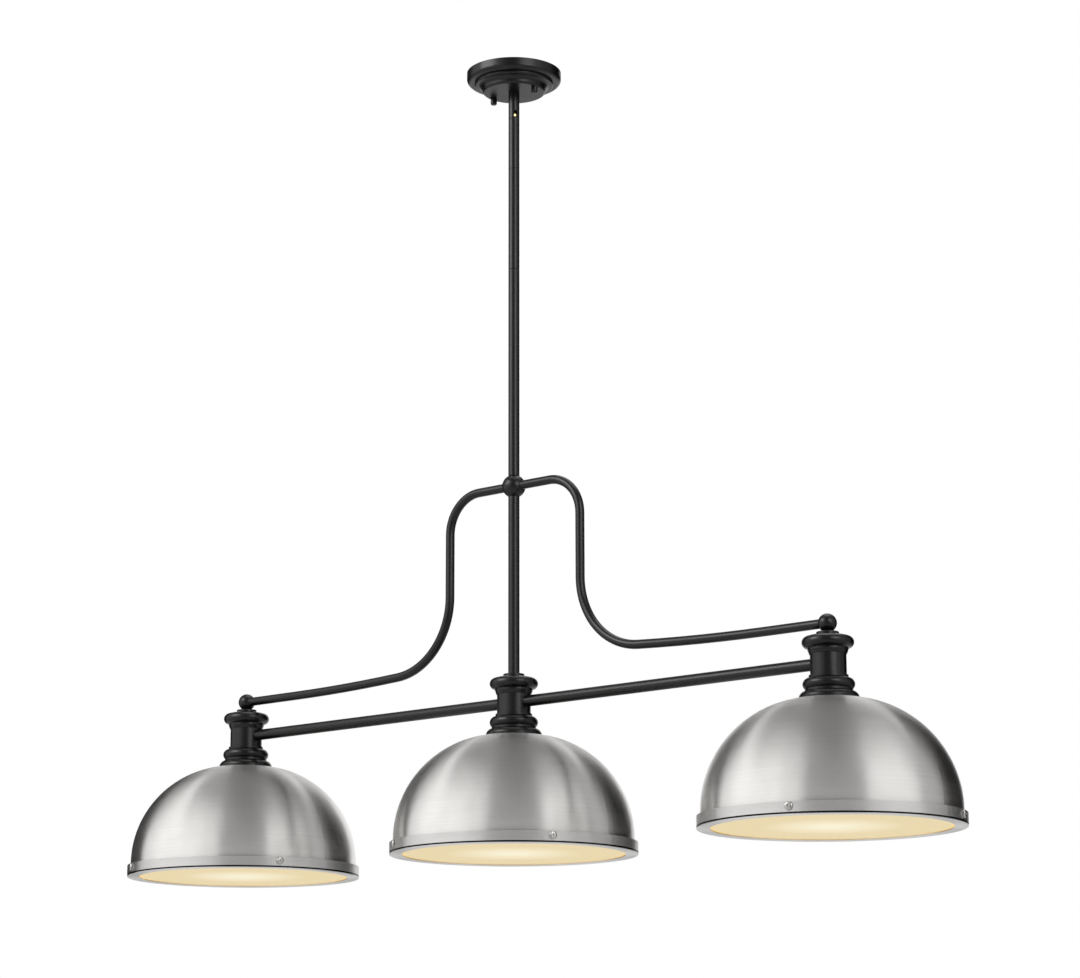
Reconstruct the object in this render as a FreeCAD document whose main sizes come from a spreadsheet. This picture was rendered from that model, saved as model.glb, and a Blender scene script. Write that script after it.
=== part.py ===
import FreeCAD, Part
import math
import os
import Sketcher

# Linear island pendant: a stepped ceiling canopy, a jointed stem with a hang-straight swivel,
# a cross ball with two swan-neck arms, two straight bars and three domed shades with glass.
# Millimetres, +Z up. The origin is on the ceiling plane, on the stem's axis; +X runs along the bars.

# ---------------------------------------------------------------- driving dimensions
SIZES = {
    # ceiling side
    "canopy_radius": 68.6,
    "canopy_rim_depth": 15.6,
    "canopy_rim_round": 6.0,
    "canopy_step_radius": 57.3,
    "canopy_step_depth": 19.6,
    "canopy_step_round": 2.7,
    "canopy_cove_radius": 7.2,
    "canopy_cove_width": 7.7,
    "canopy_boss_radius": 46.2,
    "canopy_boss_round": 4.0,
    "canopy_depth": 30.0,
    "canopy_wall": 1.4,
    "strap_width": 22.0,
    "strap_thickness": 1.8,
    "box_strap_length": 112.0,
    "stud_strap_length": 96.0,
    "box_hole_spacing": 79.4,
    "box_slot_length": 14.2,
    "box_slot_width": 4.8,
    "eyelet_radius": 5.0,
    "eyelet_bore": 4.2,
    "eyelet_lip": 2.4,
    "eyelet_lip_height": 0.8,
    "stud_offset": 38.9,
    "stud_radius": 2.1,
    "stud_length": 34.5,
    "stud_nut_radius": 4.2,
    "stud_nut_height": 3.2,
    "cap_nut_radius": 4.6,
    "cap_nut_length": 9.0,
    "cap_nut_round": 2.2,
    "ground_screw_offset": 22.0,
    "ground_screw_radius": 1.7,
    "ground_head_radius": 3.6,
    "ground_head_height": 2.2,
    # stem and swivel
    "rod_radius": 7.94,
    "rod_bore": 5.5,
    "pivot_drop": 64.0,
    "barrel_length": 82.2,
    "stem_short_length": 152.4,
    "stem_long_length": 304.8,
    "column_length": 254.0,
    "joint_groove": 0.5,
    "nipple_radius": 5.0,
    "nipple_bore": 3.4,
    "fork_thread": 14.0,
    "fork_thread_runout": 0.5,
    "nipple_reach": 12.0,
    "canopy_nipple_rise": 11.0,
    "locknut_radius": 8.1,
    "locknut_height": 4.0,
    "swivel_turn": 57.5,
    "swivel_gap": 0.75,
    "swivel_slot": 4.4,
    "swivel_slot_rise": 5.5,
    "tongue_thickness": 4.0,
    "tongue_radius": 5.0,
    "tongue_depth": 14.0,
    "tongue_foot": 12.0,
    "pivot_radius": 1.5,
    "running_clearance": 0.05,
    "tool_overrun": 1.0,
    # frame
    "ball_radius": 16.7,
    "arm_radius": 6.35,
    "arm_bore": 5.2,
    "arm_reach": 120.0,
    "arm_top_bend": 54.5,
    "arm_low_bend": 106.0,
    "arm_sag": 6.3,
    "arm_run_bend": 3500.0,
    "ball_socket": 6.0,
    "end_ball_radius": 12.4,
    "end_ball_foot": 4.0,
    "end_ball_socket": 2.0,
    "end_stud_radius": 3.0,
    "end_stud_rise": 5.0,
    "lamp_spacing": 528.8,
    "bar_drop": 40.1,
    "bar_bore": 6.5,
    "bar_entry": 2.2,
    # turned caps and cups
    "cap_disc_radius": 14.8,
    "cap_disc_height": 4.0,
    "cap_disc_round": 0.8,
    "flange_radius": 33.8,
    "flange_height": 17.4,
    "flange_round": 7.8,
    "flange_crown": 2.0,
    "cap_ceiling": 6.5,
    "cap_ring_radius": 26.2,
    "cap_ring_height": 7.6,
    "cap_ring_straight": 2.5,
    "cap_foot_edge": 0.9,
    "cap_bore": 21.0,
    "neck_radius": 23.5,
    "neck_wall": 2.0,
    "neck_overlap": 10.5,
    "fit_clearance": 0.1,
    "neck_length": 37.5,
    "neck_ring_radius": 25.6,
    "neck_ring_height": 4.0,
    "neck_ring_edge": 0.5,
    "web_thickness": 3.5,
    "web_recess_depth": 4.0,
    "web_recess_clearance": 0.9,
    "cup_wall": 3.0,
    "bead_radius": 33.7,
    "bead_height": 14.2,
    "waist_radius": 30.9,
    "flare_radius": 39.0,
    "flare_edge": 2.6,
    "cup_height": 87.3,
    "flare_height": 10.2,
    "flare_step": 0.8,
    # lamp holder, bulb and shade
    "holder_radius": 19.9,
    "holder_length": 45.0,
    "holder_bore": 13.95,
    "holder_top": 13.0,
    "holder_thread": 10.0,
    "holder_edge": 1.0,
    "shell_wall": 0.55,
    "shell_inset": 2.0,
    "contact_radius": 4.0,
    "contact_height": 1.0,
    "nipple_tail": 1.5,
    "bulb_base_radius": 13.1,
    "bulb_base_length": 28.0,
    "bulb_tip_radius": 4.5,
    "bulb_tip_height": 1.0,
    "bulb_shoulder": 4.0,
    "bulb_seam": 0.1,
    "bulb_radius": 30.0,
    "bulb_length": 110.0,
    "bulb_gap": 0.3,
    "shade_radius": 166.8,
    "shade_crown_radius": 38.0,
    "shade_hole": 20.4,
    "shade_rise": 143.2,
    "shade_skirt": 19.0,
    "shade_wall": 1.2,
    "shade_crown_bend": 1.0,
    "shade_nut_radius": 27.5,
    "shade_nut_height": 5.0,
    # ring, glass and screws
    "band_reach": 4.9,
    "band_height": 15.9,
    "band_wall": 1.6,
    "band_edge": 0.8,
    "band_groove_height": 2.0,
    "band_groove_depth": 0.8,
    "band_clearance": 0.4,
    "lip_width": 17.5,
    "lip_thickness": 1.6,
    "rim_gap": 0.4,
    "glass_inset": 5.1,
    "glass_thickness": 3.0,
    "screw_height": 10.1,
    "screw_radius": 2.0,
    "screw_clearance": 0.3,
    "screw_head_radius": 5.4,
    "screw_head_height": 3.2,
    "screw_nut_radius": 3.5,
    "screw_nut_thickness": 2.6,
    # wiring
    "wire_radius": 1.0,
    "wire_offset": 1.6,
    "wire_gap": 0.8,
    "wire_start": 3.0,
    "wire_bend": 6.0,
    "canopy_wire_bend": 4.0,
    "canopy_wire_level": 10.0,
    "connector_radius": 4.5,
    "connector_start": 12.0,
    "connector_length": 18.0,
    "block_length": 14.0,
    "block_width": 18.0,
    "block_height": 15.0,
    "block_drop": 14.0,
    "block_pitch": 4.0,
}

# Where the first screw of each ring stands, in degrees round its shade.
RING_TURNS = {"left": -26.9, "centre": -32.2, "right": -73.4}
SCREWS_PER_RING = 4

document = FreeCAD.newDocument("island_pendant")
sheet = document.addObject("Spreadsheet::Sheet", "Sizes")
for row, (alias, value) in enumerate(SIZES.items(), start=1):
    sheet.set(f"A{row}", alias.replace("_", " "))
    sheet.set(f"B{row}", str(value))
    sheet.setAlias(f"B{row}", alias)
document.recompute()


class Size:
    """A length that carries both its number and the sheet formula behind it."""

    def __init__(self, number, formula):
        self.number = float(number)
        self.formula = formula

    def __add__(self, other):
        other = as_size(other)
        return Size(self.number + other.number, f"({self.formula} + {other.formula})")

    def __sub__(self, other):
        other = as_size(other)
        return Size(self.number - other.number, f"({self.formula} - {other.formula})")

    def __mul__(self, other):
        other = as_size(other)
        return Size(self.number * other.number, f"({self.formula} * {other.formula})")

    def __truediv__(self, other):
        other = as_size(other)
        return Size(self.number / other.number, f"({self.formula} / {other.formula})")

    def __neg__(self):
        return Size(-self.number, f"(0 - {self.formula})")

    def __getattr__(self, name):
        raise AttributeError(name)


def as_size(value):
    return value if isinstance(value, Size) else Size(value, repr(float(value)))


def root(size):
    return Size(math.sqrt(size.number), f"sqrt({size.formula})")


def leg(long_side, short_side):
    """The other short side of a right-angled triangle."""
    return root(long_side * long_side - short_side * short_side)


class Sheet:
    """Each driving dimension as a Size, read by its own name."""

    def __getattr__(self, alias):
        return Size(SIZES[alias], f"Sizes.{alias}")


S = Sheet()


def bind(thing, path, size):
    thing.setExpression(path, as_size(size).formula)


# ---------------------------------------------------------------- drawing and building helpers
def origin_plane(body, role):
    return next(item for item in body.Origin.OriginFeatures if item.Role == role)


def new_sketch(body, role, name):
    sketch = body.newObject("Sketcher::SketchObject", name)
    sketch.AttachmentSupport = (origin_plane(body, role), "")
    sketch.MapMode = "FlatFace"
    return sketch


def arc_edge(start, end, radius, side):
    """The shorter arc from start to end; side 1 keeps its centre on the left, -1 on the right."""
    (x0, y0), (x1, y1) = start, end
    chord = math.hypot(x1 - x0, y1 - y0)
    height = math.sqrt(max(radius * radius - chord * chord / 4.0, 0.0))
    centre_x = (x0 + x1) / 2.0 - side * height * (y1 - y0) / chord
    centre_y = (y0 + y1) / 2.0 + side * height * (x1 - x0) / chord
    first, last = (start, end) if side > 0 else (end, start)
    angle_first = math.atan2(first[1] - centre_y, first[0] - centre_x)
    angle_last = math.atan2(last[1] - centre_y, last[0] - centre_x)
    if angle_last < angle_first:
        angle_last += 2.0 * math.pi
    circle = Part.Circle(FreeCAD.Vector(centre_x, centre_y, 0), FreeCAD.Vector(0, 0, 1), radius)
    return Part.ArcOfCircle(circle, angle_first, angle_last)


def pin_down(sketch, geometry, end, across, up):
    """Hold one end of a line or arc at a place that follows the sheet."""
    for kind, axis, size in (("DistanceX", -2, across), ("DistanceY", -1, up)):
        if abs(size.number) < 1e-9:
            sketch.addConstraint(Sketcher.Constraint("PointOnObject", geometry, end, axis))
            continue
        if size.number > 0:
            ends = (-1, 1, geometry, end)
            distance = size
        else:
            ends = (geometry, end, -1, 1)
            distance = -size
        index = sketch.addConstraint(Sketcher.Constraint(kind, *ends, distance.number))
        bind(sketch, f"Constraints[{index}]", distance)


def draw(sketch, route, closed):
    """Draw lines, (across, up), and arcs, (across, up, radius, side), through the route's points."""
    points = [(as_size(point[0]), as_size(point[1])) for point in route]
    count = len(route) if closed else len(route) - 1
    ends = []
    for index in range(count):
        target = route[(index + 1) % len(route)]
        start = tuple(size.number for size in points[index])
        finish = tuple(size.number for size in points[(index + 1) % len(route)])
        if len(target) == 2:
            line = Part.LineSegment(FreeCAD.Vector(*start, 0), FreeCAD.Vector(*finish, 0))
            ends.append((sketch.addGeometry(line, False), 1, 2))
            continue
        radius = as_size(target[2])
        side = target[3]
        geometry = sketch.addGeometry(arc_edge(start, finish, radius.number, side), False)
        ends.append((geometry, 1, 2) if side > 0 else (geometry, 2, 1))
        held = sketch.addConstraint(Sketcher.Constraint("Radius", geometry, radius.number))
        bind(sketch, f"Constraints[{held}]", radius)
    for index, (geometry, first, last) in enumerate(ends):
        pin_down(sketch, geometry, first, *points[index])
        if index + 1 < count or closed:
            following, following_first, _ = ends[(index + 1) % len(ends)]
            join = Sketcher.Constraint("Coincident", geometry, last, following, following_first)
            sketch.addConstraint(join)
    if not closed:
        geometry, _, last = ends[-1]
        pin_down(sketch, geometry, last, *points[-1])


def place(thing, x=0, y=0, z=0, rotation=None):
    if rotation is not None:
        thing.Placement = FreeCAD.Placement(FreeCAD.Vector(0, 0, 0), rotation)
    for axis, size in (("x", x), ("y", y), ("z", z)):
        size = as_size(size)
        if size.number:
            bind(thing, f"Placement.Base.{axis}", size)
    return thing


def about(axis, angle):
    return FreeCAD.Rotation(FreeCAD.Vector(*axis), angle)


ALONG_X = about((0, 1, 0), 90)
HALF_TURN = about((0, 0, 1), 180)


def turned(name, outline, **where):
    """A piece turned on a lathe: a closed outline of (radius, height) points, spun about Z."""
    body = document.addObject("PartDesign::Body", name)
    sketch = new_sketch(body, "XZ_Plane", f"{name}_outline")
    draw(sketch, outline, closed=True)
    spin = body.newObject("PartDesign::Revolution", f"{name}_turn")
    spin.Profile = sketch
    spin.ReferenceAxis = (sketch, ["V_Axis"])
    spin.Angle = 360
    sketch.Visibility = False
    return place(body, **where)


def ring_outline(inner, outer, low, high):
    return [(inner, low), (outer, low), (outer, high), (inner, high)]


def rod_outline(radius, low, high):
    return [(0, low), (radius, low), (radius, high), (0, high)]


def piped(name, route, radius, bore=None, **where):
    """A round wire or tube that starts at its own origin along +Z and bends in the XZ plane."""
    body = document.addObject("PartDesign::Body", name)
    section = new_sketch(body, "XY_Plane", f"{name}_section")
    for size in (radius, bore):
        if size is None:
            continue
        circle = Part.Circle(FreeCAD.Vector(0, 0, 0), FreeCAD.Vector(0, 0, 1), size.number)
        geometry = section.addGeometry(circle, False)
        section.addConstraint(Sketcher.Constraint("Coincident", geometry, 3, -1, 1))
        held = section.addConstraint(Sketcher.Constraint("Radius", geometry, size.number))
        bind(section, f"Constraints[{held}]", size)
    path = new_sketch(body, "XZ_Plane", f"{name}_path")
    draw(path, route, closed=False)
    document.recompute()
    sweep = body.newObject("PartDesign::AdditivePipe", f"{name}_sweep")
    sweep.Profile = section
    sweep.Spine = (path, [f"Edge{number + 1}" for number in range(len(route) - 1)])
    section.Visibility = False
    path.Visibility = False
    return place(body, **where)


def box(name, x, y, z, length, width, height):
    """A block given by its low corner and its three sizes."""
    block = document.addObject("Part::Box", name)
    for path, size in (("Length", length), ("Width", width), ("Height", height)):
        bind(block, path, size)
    return place(block, x=x, y=y, z=z)


def cylinder(name, radius, height, **where):
    solid = document.addObject("Part::Cylinder", name)
    bind(solid, "Radius", radius)
    bind(solid, "Height", height)
    return place(solid, **where)


def hexagon(name, circumradius, height, **where):
    solid = document.addObject("Part::Prism", name)
    solid.Polygon = 6
    bind(solid, "Circumradius", circumradius)
    bind(solid, "Height", height)
    return place(solid, **where)


def cut(name, base, *tools):
    """The base with every tool's shape taken away."""
    tool = tools[0]
    if len(tools) > 1:
        tool = document.addObject("Part::MultiFuse", f"{name}_tools")
        tool.Shapes = list(tools)
    result = document.addObject("Part::Cut", name)
    result.Base = base
    result.Tool = tool
    return result


def fuse(name, *pieces):
    result = document.addObject("Part::MultiFuse", name)
    result.Shapes = list(pieces)
    result.Refine = True
    return result


def group(name, pieces):
    """Identical separate solids kept together as one sub-part."""
    result = document.addObject("Part::Compound", name)
    result.Links = list(pieces)
    return result


sub_parts = []


def keep(node, thing):
    thing.Label = node
    sub_parts.append(thing)
    return thing


# ---------------------------------------------------------------- levels, from the ceiling down
pivot_level = -S.pivot_drop
joint_one_level = pivot_level - S.barrel_length
joint_two_level = joint_one_level - S.stem_short_length
ball_seat = leg(S.ball_radius, S.rod_radius)
ball_level = joint_two_level - S.stem_long_length - ball_seat
column_top_level = ball_level - ball_seat
cap_level = column_top_level - S.column_length
end_ball_seat = leg(S.end_ball_radius, S.end_ball_foot)
end_ball_level = cap_level + end_ball_seat
bar_level = cap_level - S.bar_drop
flange_level = cap_level - S.cap_disc_height
ring_top_level = flange_level - S.flange_height
cap_foot_level = ring_top_level - S.cap_ring_height
neck_top_level = cap_foot_level + S.neck_overlap
neck_foot_level = neck_top_level - S.neck_length
web_level = neck_foot_level - S.neck_ring_height + S.neck_ring_edge
holder_level = web_level - S.web_thickness
cup_base_level = cap_level - S.cup_height
shade_level = cup_base_level
spring_level = shade_level - S.shade_rise
shade_rim_level = spring_level - S.shade_skirt
ring_level = shade_rim_level - S.rim_gap - S.lip_thickness
screw_level = ring_level + S.screw_height
band_radius = S.shade_radius + S.band_reach
lip_radius = band_radius - S.lip_width
glass_radius = S.shade_radius - S.shade_wall - S.glass_inset
LAMPS = {"left": -S.lamp_spacing, "centre": as_size(0), "right": S.lamp_spacing}
SIDES = {"left": -1, "right": 1}


# ---------------------------------------------------------------- ceiling plate set
def make_box_strap():
    half = S.box_strap_length / 2
    plate = box("box_strap_plate", -S.strap_width / 2, -half, -S.strap_thickness,
                S.strap_width, S.box_strap_length, S.strap_thickness)
    tools = [cylinder("box_strap_eye", S.eyelet_radius, S.strap_thickness, z=-S.strap_thickness)]
    straight = S.box_slot_length - S.box_slot_width
    for side in (-1, 1):
        centre = S.box_hole_spacing / 2 * side
        tools.append(box(f"box_slot_{side}", -S.box_slot_width / 2, centre - straight / 2,
                         -S.strap_thickness, S.box_slot_width, straight, S.strap_thickness))
        for end in (-1, 1):
            tools.append(cylinder(f"box_slot_end_{side}_{end}", S.box_slot_width / 2,
                                  S.strap_thickness, y=centre + straight / 2 * end,
                                  z=-S.strap_thickness))
    tools.append(cylinder("ground_screw_hole", S.ground_screw_radius, S.strap_thickness,
                          y=S.ground_screw_offset, z=-S.strap_thickness))
    keep("box_strap", cut("box_strap", plate, *tools))


def make_stud_strap():
    low = -S.strap_thickness * 2
    plate = box("stud_strap_plate", -S.stud_strap_length / 2, -S.strap_width / 2, low,
                S.stud_strap_length, S.strap_width, S.strap_thickness)
    tools = [cylinder("stud_strap_eye", S.eyelet_radius, S.strap_thickness, z=low)]
    for side in (-1, 1):
        tools.append(cylinder(f"stud_hole_{side}", S.stud_radius, S.strap_thickness,
                              x=S.stud_offset * side, z=low))
    keep("stud_strap", cut("stud_strap", plate, *tools))


def make_strap_eyelet():
    lip = S.strap_thickness * 2
    foot = -lip - S.eyelet_lip_height
    edge = S.eyelet_radius + S.eyelet_lip
    outline = [(S.eyelet_bore, foot), (edge, foot), (edge, -lip), (S.eyelet_radius, -lip),
               (S.eyelet_radius, 0), (S.eyelet_bore, 0)]
    keep("strap_eyelet", turned("strap_eyelet", outline))


def make_studs():
    top = -S.strap_thickness
    studs = []
    nuts = []
    caps = []
    for side in (-1, 1):
        across = S.stud_offset * side
        studs.append(turned(f"stud_{side}", rod_outline(S.stud_radius, top - S.stud_length, top),
                            x=across))
        nut = hexagon(f"stud_nut_blank_{side}", S.stud_nut_radius, S.stud_nut_height, x=across,
                      z=-S.strap_thickness * 2 - S.stud_nut_height)
        hole = cylinder(f"stud_nut_hole_{side}", S.stud_radius, S.stud_nut_height, x=across,
                        z=-S.strap_thickness * 2 - S.stud_nut_height)
        nuts.append(cut(f"stud_nut_{side}", nut, hole))
        seat = -S.canopy_depth
        foot = seat - S.cap_nut_length
        outline = [(0, foot), (S.cap_nut_radius - S.cap_nut_round, foot),
                   (S.cap_nut_radius, foot + S.cap_nut_round, S.cap_nut_round, 1),
                   (S.cap_nut_radius, seat), (S.stud_radius, seat),
                   (S.stud_radius, top - S.stud_length), (0, top - S.stud_length)]
        caps.append(turned(f"cap_nut_{side}", outline, x=across))
    keep("strap_studs", group("strap_studs", studs))
    keep("stud_locknuts", group("stud_locknuts", nuts))
    keep("canopy_cap_nuts", group("canopy_cap_nuts", caps))


def make_ground_screw():
    low = -S.strap_thickness
    outline = [(0, low - S.ground_head_height), (S.ground_head_radius, low - S.ground_head_height),
               (S.ground_head_radius, low), (S.ground_screw_radius, low),
               (S.ground_screw_radius, 0), (0, 0)]
    keep("ground_screw", turned("ground_screw", outline, y=S.ground_screw_offset))


def make_canopy():
    wall = S.canopy_wall
    rim = S.canopy_radius
    rim_bend = S.canopy_rim_round
    rim_low = -S.canopy_rim_depth
    step = S.canopy_step_radius
    step_bend = S.canopy_step_round
    step_low = -S.canopy_step_depth
    cove = S.canopy_cove_radius
    boss = S.canopy_boss_radius
    boss_bend = S.canopy_boss_round
    boss_low = -S.canopy_depth
    cove_end = boss + S.canopy_cove_width
    outline = [
        (S.nipple_radius, boss_low),
        (boss - boss_bend, boss_low),
        (boss, boss_low + boss_bend, boss_bend, 1),
        (cove_end, step_low, cove, -1),
        (step - step_bend, step_low),
        (step, step_low + step_bend, step_bend, 1),
        (step, rim_low),
        (rim - rim_bend, rim_low),
        (rim, rim_low + rim_bend, rim_bend, 1),
        (rim, 0),
        (rim - wall, 0),
        (rim - wall, rim_low + rim_bend),
        (rim - rim_bend, rim_low + wall, rim_bend - wall, -1),
        (step - wall, rim_low + wall),
        (step - wall, step_low + step_bend),
        (step - step_bend, step_low + wall, step_bend - wall, -1),
        (cove_end, step_low + wall),
        (boss - wall, boss_low + boss_bend, cove + wall, 1),
        (boss - boss_bend, boss_low + wall, boss_bend - wall, -1),
        (S.nipple_radius, boss_low + wall),
    ]
    body = turned("canopy_shell", outline)
    holes = [cylinder(f"canopy_hole_{side}", S.stud_radius, S.canopy_depth,
                      x=S.stud_offset * side, z=-S.canopy_depth) for side in (-1, 1)]
    keep("canopy", cut("canopy", body, *holes))


def make_canopy_nipple():
    floor = -S.canopy_depth + S.canopy_wall
    low = -S.canopy_depth - S.fork_thread
    high = -S.canopy_depth + S.canopy_nipple_rise
    keep("canopy_nipple", turned("canopy_nipple",
                                 ring_outline(S.nipple_bore, S.nipple_radius, low, high)))
    nut = hexagon("nipple_nut_blank", S.locknut_radius, S.locknut_height, z=floor)
    hole = cylinder("nipple_nut_hole", S.nipple_radius, S.locknut_height, z=floor)
    keep("nipple_locknut", cut("nipple_locknut", nut, hole))


# ---------------------------------------------------------------- swivel
def make_swivel():
    turn = about((0, 0, 1), SIZES["swivel_turn"])
    radius = S.rod_radius
    low = pivot_level - radius
    thread_end = -S.canopy_depth - S.fork_thread
    outline = [(S.rod_bore, low), (radius, low), (radius, -S.canopy_depth),
               (S.nipple_radius, -S.canopy_depth), (S.nipple_radius, thread_end),
               (S.rod_bore, thread_end - S.fork_thread_runout)]
    tube = turned("fork_tube", outline)
    upper = box("fork_upper", -radius, -radius, pivot_level, radius * 2, radius * 2,
                S.pivot_drop - S.canopy_depth)
    round_end = cylinder("fork_round", radius, radius * 2, x=-radius, z=pivot_level,
                         rotation=ALONG_X)
    rounded = document.addObject("Part::MultiCommon", "fork_rounded")
    rounded.Shapes = [tube, fuse("fork_keep", upper, round_end)]
    slot_top = pivot_level + S.swivel_slot_rise - S.swivel_slot / 2
    slot = box("fork_slot", -S.swivel_slot / 2, -radius, low, S.swivel_slot, radius * 2,
               slot_top - low)
    slot_round = cylinder("fork_slot_round", S.swivel_slot / 2, radius * 2, y=radius, z=slot_top,
                          rotation=about((1, 0, 0), 90))
    hole = cylinder("fork_pin_hole", S.pivot_radius, radius * 2, x=-radius, z=pivot_level,
                    rotation=ALONG_X)
    fork = cut("swivel_fork", rounded, slot, slot_round, hole)
    fork.Placement = FreeCAD.Placement(FreeCAD.Vector(0, 0, 0), turn)
    keep("swivel_fork", fork)

    pin_reach = leg(radius, S.pivot_radius)
    pin = turned("pivot_pin", rod_outline(S.pivot_radius, -pin_reach, pin_reach), z=pivot_level,
                 rotation=turn.multiply(ALONG_X))
    keep("pivot_pin", pin)

    horn = leg(radius + S.swivel_gap, radius)
    tube = turned("barrel_tube", ring_outline(S.rod_bore, radius, joint_one_level,
                                              pivot_level - horn))
    seat = cylinder("barrel_seat", radius + S.swivel_gap, (radius + S.tool_overrun) * 2,
                    x=-radius - S.tool_overrun, z=pivot_level, rotation=ALONG_X)
    barrel = cut("swivel_barrel", tube, seat)
    barrel.Placement = FreeCAD.Placement(FreeCAD.Vector(0, 0, 0), turn)
    keep("swivel_barrel", barrel)

    half = S.tongue_thickness / 2
    shoulder = pivot_level - S.tongue_depth
    blade = box("tongue_blade", -half, -S.tongue_radius, shoulder, S.tongue_thickness,
                S.tongue_radius * 2, S.tongue_depth)
    nose = cylinder("tongue_nose", S.tongue_radius, S.tongue_thickness, x=-half, z=pivot_level,
                    rotation=ALONG_X)
    foot = turned("tongue_foot", ring_outline(S.nipple_bore, S.rod_bore,
                                              shoulder - S.tongue_foot, shoulder))
    hole = cylinder("tongue_hole", S.pivot_radius + S.running_clearance, S.tongue_thickness,
                    x=-half, z=pivot_level, rotation=ALONG_X)
    tongue = cut("swivel_tongue", fuse("tongue_solid", blade, nose, foot), hole)
    tongue.Placement = FreeCAD.Placement(FreeCAD.Vector(0, 0, 0), turn)
    keep("swivel_tongue", tongue)


# ---------------------------------------------------------------- stem and frame
def stem_outline(low, high):
    """A tube with a fine chamfer at each end, so that a joint shows as a thin groove."""
    edge = S.joint_groove
    return [(S.rod_bore, low), (S.rod_radius - edge, low), (S.rod_radius, low + edge),
            (S.rod_radius, high - edge), (S.rod_radius - edge, high), (S.rod_bore, high)]


def make_stems():
    keep("stem_short", turned("stem_short", stem_outline(joint_two_level, joint_one_level)))
    keep("stem_long", turned("stem_long", stem_outline(ball_level + ball_seat, joint_two_level)))
    keep("centre_column", turned("centre_column", stem_outline(cap_level, column_top_level)))
    nipples = []
    for number, level in enumerate((joint_one_level, joint_two_level, ball_level + ball_seat,
                                    column_top_level)):
        outline = ring_outline(S.nipple_bore, S.rod_bore, level - S.nipple_reach,
                               level + S.nipple_reach)
        nipples.append(turned(f"stem_nipple_{number}", outline))
    outline = ring_outline(S.nipple_bore, S.rod_bore, flange_level - S.cap_ceiling,
                           cap_level + S.nipple_reach)
    nipples.append(turned("stem_nipple_cap", outline))
    keep("stem_nipples", group("stem_nipples", nipples))


def make_cross_ball():
    outline = [(S.rod_bore, -ball_seat), (S.rod_radius, -ball_seat),
               (S.rod_radius, ball_seat, S.ball_radius, 1), (S.rod_bore, ball_seat)]
    ball = turned("cross_ball_blank", outline, z=ball_level)
    tools = []
    for side in SIDES.values():
        start = (S.ball_radius - S.ball_socket) if side > 0 else -S.ball_radius
        tools.append(cylinder(f"cross_ball_socket_{side}", S.arm_radius, S.ball_socket, x=start,
                              z=ball_level, rotation=ALONG_X))
    keep("cross_ball", cut("cross_ball", ball, *tools))


def make_arms():
    start = S.ball_radius - S.ball_socket
    drop = ball_level - end_ball_level
    up = S.arm_top_bend
    low = S.arm_low_bend
    run = S.arm_run_bend
    reach = S.arm_reach - start
    end = S.lamp_spacing - S.end_ball_socket - start
    level_part = as_size(1) - S.arm_sag / run
    falling_part = leg(as_size(1), level_part)
    low_end = reach + low * (as_size(1) - falling_part)
    run_level = drop - S.arm_sag
    route = [(0, 0), (0, reach - up), (up, reach, up, -1), (run_level - low * level_part, reach),
             (run_level, low_end, low, 1), (drop, low_end + run * falling_part, run, 1),
             (drop, end)]
    for side, sign in SIDES.items():
        rotation = ALONG_X if sign > 0 else HALF_TURN.multiply(ALONG_X)
        arm = piped(f"arm_{side}", route, S.arm_radius, S.arm_bore, x=start * sign, z=ball_level,
                    rotation=rotation)
        keep(f"arm_{side}", arm)


def make_end_balls():
    studs = []
    for side, sign in SIDES.items():
        across = S.lamp_spacing * sign
        foot = -end_ball_seat
        rise = S.end_stud_rise
        outline = [(0, foot + rise), (S.end_stud_radius, foot + rise), (S.end_stud_radius, foot),
                   (S.end_ball_foot, foot), (S.end_ball_radius, 0, S.end_ball_radius, 1),
                   (0, S.end_ball_radius, S.end_ball_radius, 1)]
        ball = turned(f"end_ball_blank_{side}", outline, x=across, z=end_ball_level)
        inner = S.lamp_spacing - S.end_ball_radius
        begin = inner if sign > 0 else -(S.lamp_spacing - S.end_ball_socket)
        socket = cylinder(f"end_ball_socket_{side}", S.arm_radius,
                          S.end_ball_radius - S.end_ball_socket, x=begin, z=end_ball_level,
                          rotation=ALONG_X)
        keep(f"end_ball_{side}", cut(f"end_ball_{side}", ball, socket))
        outline = rod_outline(S.end_stud_radius, flange_level - S.cap_ceiling, cap_level + rise)
        studs.append(turned(f"end_stud_{side}", outline, x=across))
    keep("end_ball_studs", group("end_ball_studs", studs))


def make_bars():
    inset = S.neck_radius - S.neck_wall - S.bar_entry
    for side, sign in SIDES.items():
        length = S.lamp_spacing - inset * 2
        start = inset if sign > 0 else inset - S.lamp_spacing
        bar = turned(f"bar_{side}", ring_outline(S.bar_bore, S.rod_radius, 0, length), x=start,
                     z=bar_level, rotation=ALONG_X)
        keep(f"bar_{side}", bar)


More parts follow.
